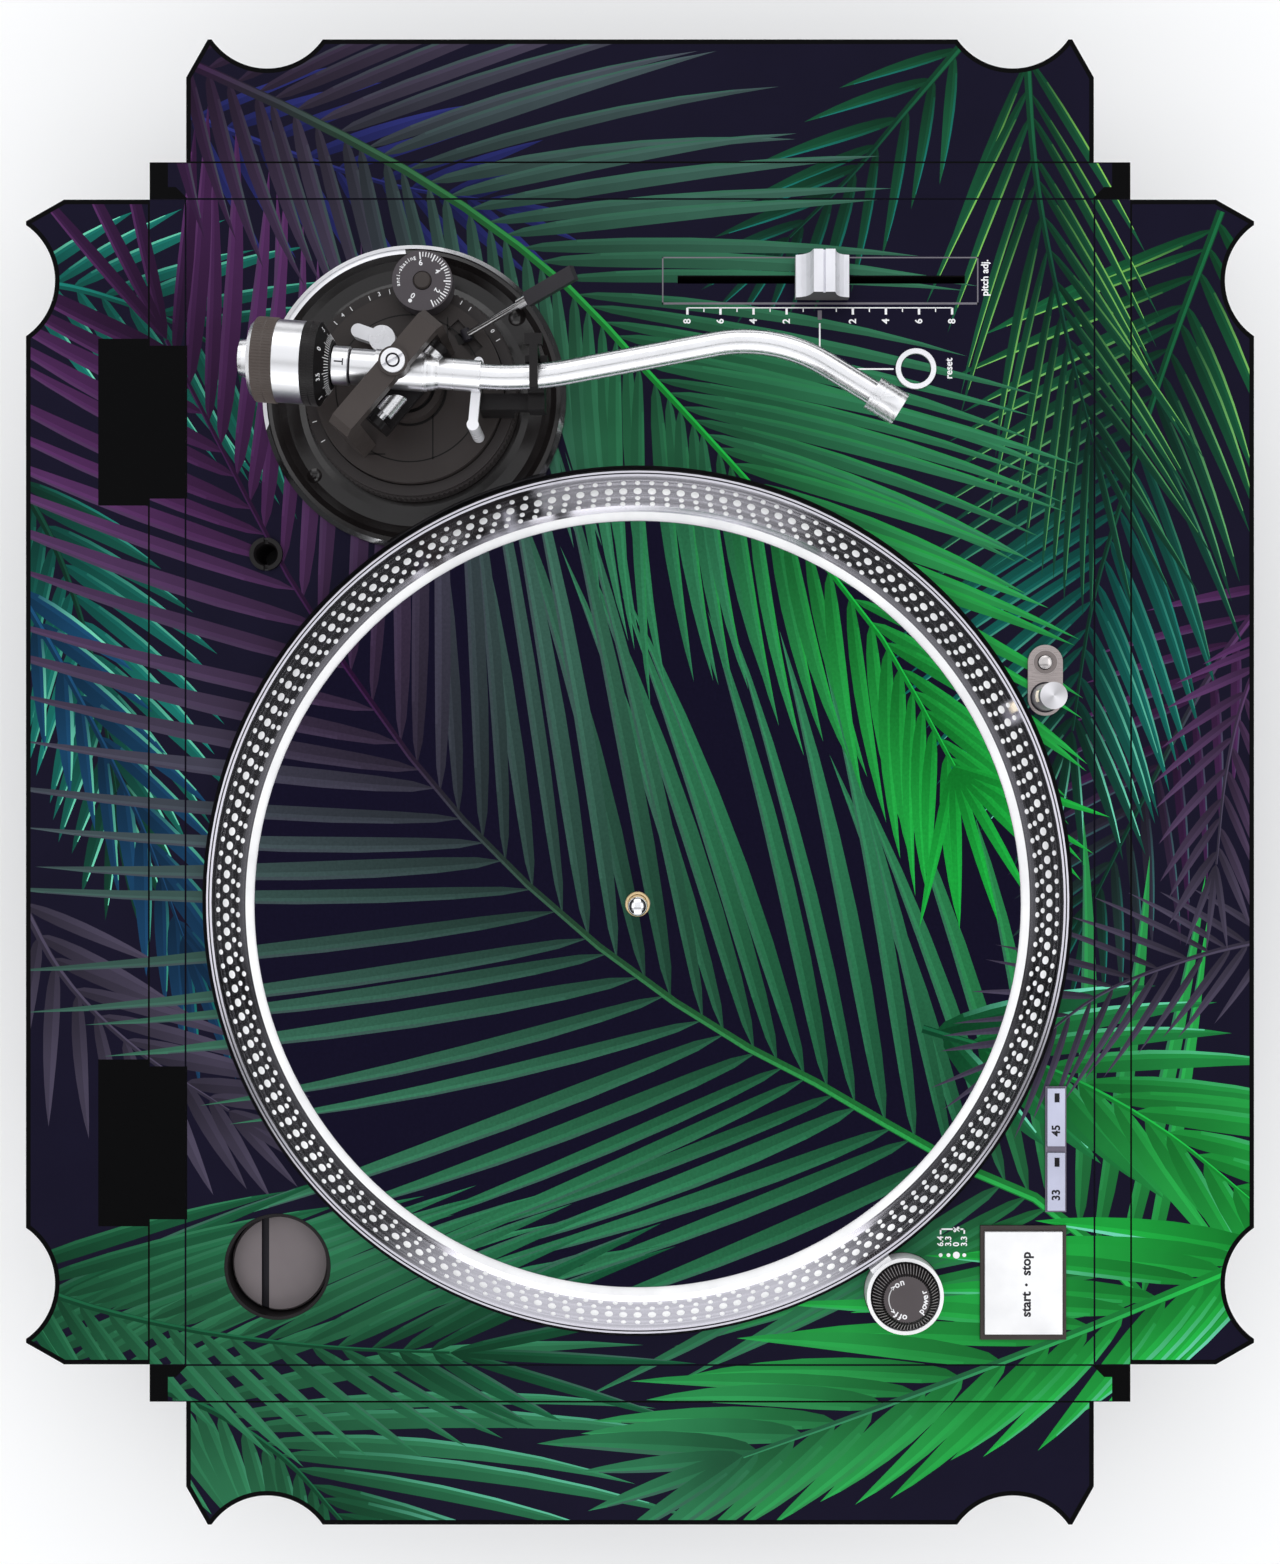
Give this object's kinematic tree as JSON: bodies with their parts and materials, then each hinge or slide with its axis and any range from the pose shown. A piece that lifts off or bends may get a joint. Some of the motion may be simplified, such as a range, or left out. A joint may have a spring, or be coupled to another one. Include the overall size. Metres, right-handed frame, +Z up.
{
  "type": "turntable record player",
  "caption": "Direct-drive record player: platter with slipmat and spindle, S-shaped tonearm, pitch slider, keys, target lamp and a printed vinyl skin with unfolded side flaps.",
  "frame": {"origin": "on the table, under the middle of the deck", "axes": "+X towards the tonearm side (the listener's right), -Y the front, +Z up"},
  "size_m": [0.5776, 0.4776, 0.159],
  "materials": {
    "cast_metal": "satin",
    "base_rubber": "matte",
    "zinc": "satin",
    "laminated_steel": "satin",
    "bearing_brass": "satin",
    "board_green": "satin",
    "black_plastic": "satin",
    "black_rubber": "matte",
    "printed_vinyl": "satin print",
    "printed_felt": "felt print",
    "graphite_metal": "satin",
    "bright_trim": "polished",
    "key_frame": "satin",
    "graphite_plastic": "satin",
    "brushed_steel": "brushed",
    "white_housing": "gloss",
    "platter_metal": "turned",
    "chromed_steel": "polished",
    "magnet_grey": "ferrite",
    "cue_metal": "satin",
    "black_metal": "satin",
    "polished_metal": "polished",
    "arm_chrome": "polished",
    "weight_metal": "turned",
    "knob_silver": "satin",
    "white_key": "satin",
    "lilac_key": "satin",
    "green_cap": "gloss",
    "adaptor_grey": "satin"
  },
  "bodies": {
    "deck": {"top_cabinet": "cast_metal", "rubber_base": "base_rubber", "base_screws": "zinc", "motor_stator": "laminated_steel", "spindle_bearing": "bearing_brass", "circuit_board": "board_green", "switch_board": "board_green", "power_transformer": "laminated_steel", "hinge_sockets": "black_plastic", "cable_glands": "black_rubber", "skin_top": "printed_vinyl", "tonearm_base_plate": "graphite_metal", "base_trim_ring": "bright_trim", "start_stop_frame": "graphite_metal", "speed_key_frame": "key_frame", "fader_track": "graphite_plastic", "lamp_plate": "brushed_steel", "strobe_housing": "white_housing", "reset_ring": "bright_trim", "headshell_holder": "black_plastic", "adaptor_well": "black_plastic"},
    "platter": {"platter": "platter_metal", "spindle": "chromed_steel", "rotor_magnet": "magnet_grey"},
    "slipmat": {"slipmat": "printed_felt"},
    "height_ring": {"height_ring": "black_plastic"},
    "arm_base": {"arm_lift_base": "graphite_metal", "armrest_post": "black_plastic", "bearing_bridge": "graphite_metal", "pivot_screw": "chromed_steel"},
    "armrest_clip": {"armrest_clip": "black_plastic"},
    "lock_lever": {"lock_lever": "chromed_steel"},
    "antiskate_dial": {"antiskate_dial": "black_plastic"},
    "cue_lever": {"cue_lever": "cue_metal"},
    "cue_rail": {"cue_rail": "brushed_steel"},
    "gimbal": {"gimbal_frame": "black_metal"},
    "tonearm": {"arm_housing": "polished_metal", "arm_tube": "arm_chrome", "rear_shaft": "polished_metal"},
    "headshell_collar": {"headshell_collar": "polished_metal"},
    "weight_bush": {"weight_bush": "black_plastic"},
    "counterweight": {"counterweight": "weight_metal"},
    "force_dial": {"force_dial": "black_plastic"},
    "pitch_knob": {"pitch_knob": "knob_silver"},
    "start_stop_key": {"start_stop_key": "white_key"},
    "key_33": {"key_33": "lilac_key"},
    "key_45": {"key_45": "lilac_key"},
    "reset_button": {"reset_button": "green_cap"},
    "power_knob": {"power_knob": "graphite_metal"},
    "lamp_head": {"lamp_head": "polished_metal"},
    "lamp_button": {"lamp_button": "polished_metal"},
    "adaptor_45": {"adaptor_45": "adaptor_grey"},
    "foot_front_right": {"foot_front_right": "black_rubber"},
    "foot_front_left": {"foot_front_left": "black_rubber"},
    "foot_rear_right": {"foot_rear_right": "black_rubber"},
    "foot_rear_left": {"foot_rear_left": "black_rubber"},
    "flap_right": {"flap_right": "printed_vinyl"},
    "flap_left": {"flap_left": "printed_vinyl"},
    "flap_front": {"flap_front": "printed_vinyl"},
    "flap_back": {"flap_back": "printed_vinyl"}
  },
  "joints": [
    {"name": "platter_spin", "type": "hinge", "parent": "deck", "child": "platter", "pos_m": [-0.0462, 0.0009, 0.095], "axis": [0, 0, 1], "continuous": true},
    {"name": "slipmat_slip", "type": "hinge", "parent": "platter", "child": "slipmat", "pos_m": [-0.0462, 0.0009, 0.1125], "axis": [0, 0, 1], "continuous": true},
    {"name": "arm_height_turn", "type": "hinge", "parent": "deck", "child": "height_ring", "pos_m": [0.1493, 0.0875, 0.1], "axis": [0, 0, 1], "range_deg": [0, 90]},
    {"name": "arm_base_lift", "type": "slide", "parent": "deck", "child": "arm_base", "axis": [0, 0, 1], "range_m": [0, 0.006]},
    {"name": "tonearm_swing", "type": "hinge", "parent": "arm_base", "child": "gimbal", "pos_m": [0.1493, 0.0875, 0.143], "axis": [0, 0, 1], "range_deg": [-45, 0]},
    {"name": "tonearm_lift", "type": "hinge", "parent": "gimbal", "child": "tonearm", "pos_m": [0.14535, 0.08285, 0.143], "axis": [-0.7615, 0.6481, 0], "range_deg": [0, 5]},
    {"name": "cue_rail_lift", "type": "slide", "parent": "arm_base", "child": "cue_rail", "axis": [0, 0, 1], "range_m": [0, 0.00145]},
    {"name": "cue_lever_turn", "type": "hinge", "parent": "arm_base", "child": "cue_lever", "pos_m": [0.169, 0.0656, 0.1152], "axis": [-0.9336, -0.3584, 0], "range_deg": [0, 46]},
    {"name": "armrest_clip_open", "type": "hinge", "parent": "arm_base", "child": "armrest_clip", "pos_m": [0.1539, 0.038, 0.13], "axis": [0, 1, 0], "range_deg": [0, 60]},
    {"name": "lock_lever_turn", "type": "hinge", "parent": "arm_base", "child": "lock_lever", "pos_m": [0.1656, 0.0963, 0.115], "axis": [0, 0, 1], "range_deg": [0, 60]},
    {"name": "antiskate_turn", "type": "hinge", "parent": "arm_base", "child": "antiskate_dial", "pos_m": [0.1877, 0.0815, 0.115], "axis": [0, 0, 1], "range_deg": [0, 240]},
    {"name": "counterweight_travel", "type": "slide", "parent": "tonearm", "child": "weight_bush", "axis": [0.0767, 0.9971, 0], "range_m": [0, 0.008]},
    {"name": "counterweight_spin", "type": "hinge", "parent": "weight_bush", "child": "counterweight", "pos_m": [0.1493, 0.0875, 0.143], "axis": [0.0767, 0.9971, 0], "range_deg": [0, 720]},
    {"name": "force_dial_turn", "type": "hinge", "parent": "counterweight", "child": "force_dial", "pos_m": [0.1493, 0.0875, 0.143], "axis": [0.0767, 0.9971, 0], "range_deg": [-180, 180]},
    {"name": "collar_turn", "type": "hinge", "parent": "tonearm", "child": "headshell_collar", "pos_m": [0.14011, -0.08597, 0.143], "axis": [-0.521, -0.8536, 0], "range_deg": [0, 90]},
    {"name": "pitch_slide", "type": "slide", "parent": "deck", "child": "pitch_knob", "axis": [0, 1, 0], "range_m": [-0.05, 0.05]},
    {"name": "start_stop_press", "type": "slide", "parent": "deck", "child": "start_stop_key", "axis": [0, 0, 1], "range_m": [-0.0015, 0], "stiffness_N_per_m": 500, "springref_m": 0.001},
    {"name": "key_33_press", "type": "slide", "parent": "deck", "child": "key_33", "axis": [0, 0, 1], "range_m": [-0.0015, 0], "stiffness_N_per_m": 500, "springref_m": 0.001},
    {"name": "key_45_press", "type": "slide", "parent": "deck", "child": "key_45", "axis": [0, 0, 1], "range_m": [-0.0015, 0], "stiffness_N_per_m": 500, "springref_m": 0.001},
    {"name": "reset_press", "type": "slide", "parent": "deck", "child": "reset_button", "axis": [0, 0, 1], "range_m": [-0.0015, 0], "stiffness_N_per_m": 500, "springref_m": 0.001},
    {"name": "power_knob_turn", "type": "hinge", "parent": "deck", "child": "power_knob", "pos_m": [-0.198, -0.1021, 0.1], "axis": [0, 0, 1], "range_deg": [-30, 0]},
    {"name": "lamp_popup", "type": "slide", "parent": "deck", "child": "lamp_head", "axis": [0, 0, 1], "range_m": [-0.0145, 0]},
    {"name": "lamp_button_press", "type": "slide", "parent": "deck", "child": "lamp_button", "axis": [0, 0, 1], "range_m": [-0.0015, 0], "stiffness_N_per_m": 500, "springref_m": 0.001},
    {"name": "adaptor_lift", "type": "slide", "parent": "deck", "child": "adaptor_45", "axis": [0, 0, 1], "range_m": [0, 0.015]},
    {"name": "foot_front_right_turn", "type": "hinge", "parent": "deck", "child": "foot_front_right", "pos_m": [0.195, -0.145, 0.02], "axis": [0, 0, 1], "range_deg": [-360, 360]},
    {"name": "foot_front_left_turn", "type": "hinge", "parent": "deck", "child": "foot_front_left", "pos_m": [-0.195, -0.145, 0.02], "axis": [0, 0, 1], "range_deg": [-360, 360]},
    {"name": "foot_rear_right_turn", "type": "hinge", "parent": "deck", "child": "foot_rear_right", "pos_m": [0.195, 0.145, 0.02], "axis": [0, 0, 1], "range_deg": [-360, 360]},
    {"name": "foot_rear_left_turn", "type": "hinge", "parent": "deck", "child": "foot_rear_left", "pos_m": [-0.195, 0.145, 0.02], "axis": [0, 0, 1], "range_deg": [-360, 360]},
    {"name": "flap_right_fold", "type": "hinge", "parent": "deck", "child": "flap_right", "pos_m": [0.2268, 0, 0.095], "axis": [0, 1, 0], "range_deg": [0, 90]},
    {"name": "flap_left_fold", "type": "hinge", "parent": "deck", "child": "flap_left", "pos_m": [-0.2268, 0, 0.095], "axis": [0, -1, 0], "range_deg": [0, 90]},
    {"name": "flap_front_fold", "type": "hinge", "parent": "deck", "child": "flap_front", "pos_m": [0, -0.1768, 0.095], "axis": [1, 0, 0], "range_deg": [0, 90]},
    {"name": "flap_back_fold", "type": "hinge", "parent": "deck", "child": "flap_back", "pos_m": [0, 0.1768, 0.095], "axis": [-1, 0, 0], "range_deg": [0, 90]}
  ],
  "couplings": [
    {"joint": "arm_height_turn", "follows": "arm_base_lift", "rad_per_m": 261.8},
    {"joint": "cue_rail_lift", "follows": "tonearm_lift", "m_per_rad": 0.0155},
    {"joint": "cue_lever_turn", "follows": "tonearm_lift", "ratio": 9},
    {"joint": "counterweight_spin", "follows": "counterweight_travel", "rad_per_m": 1570.8}
  ]
}
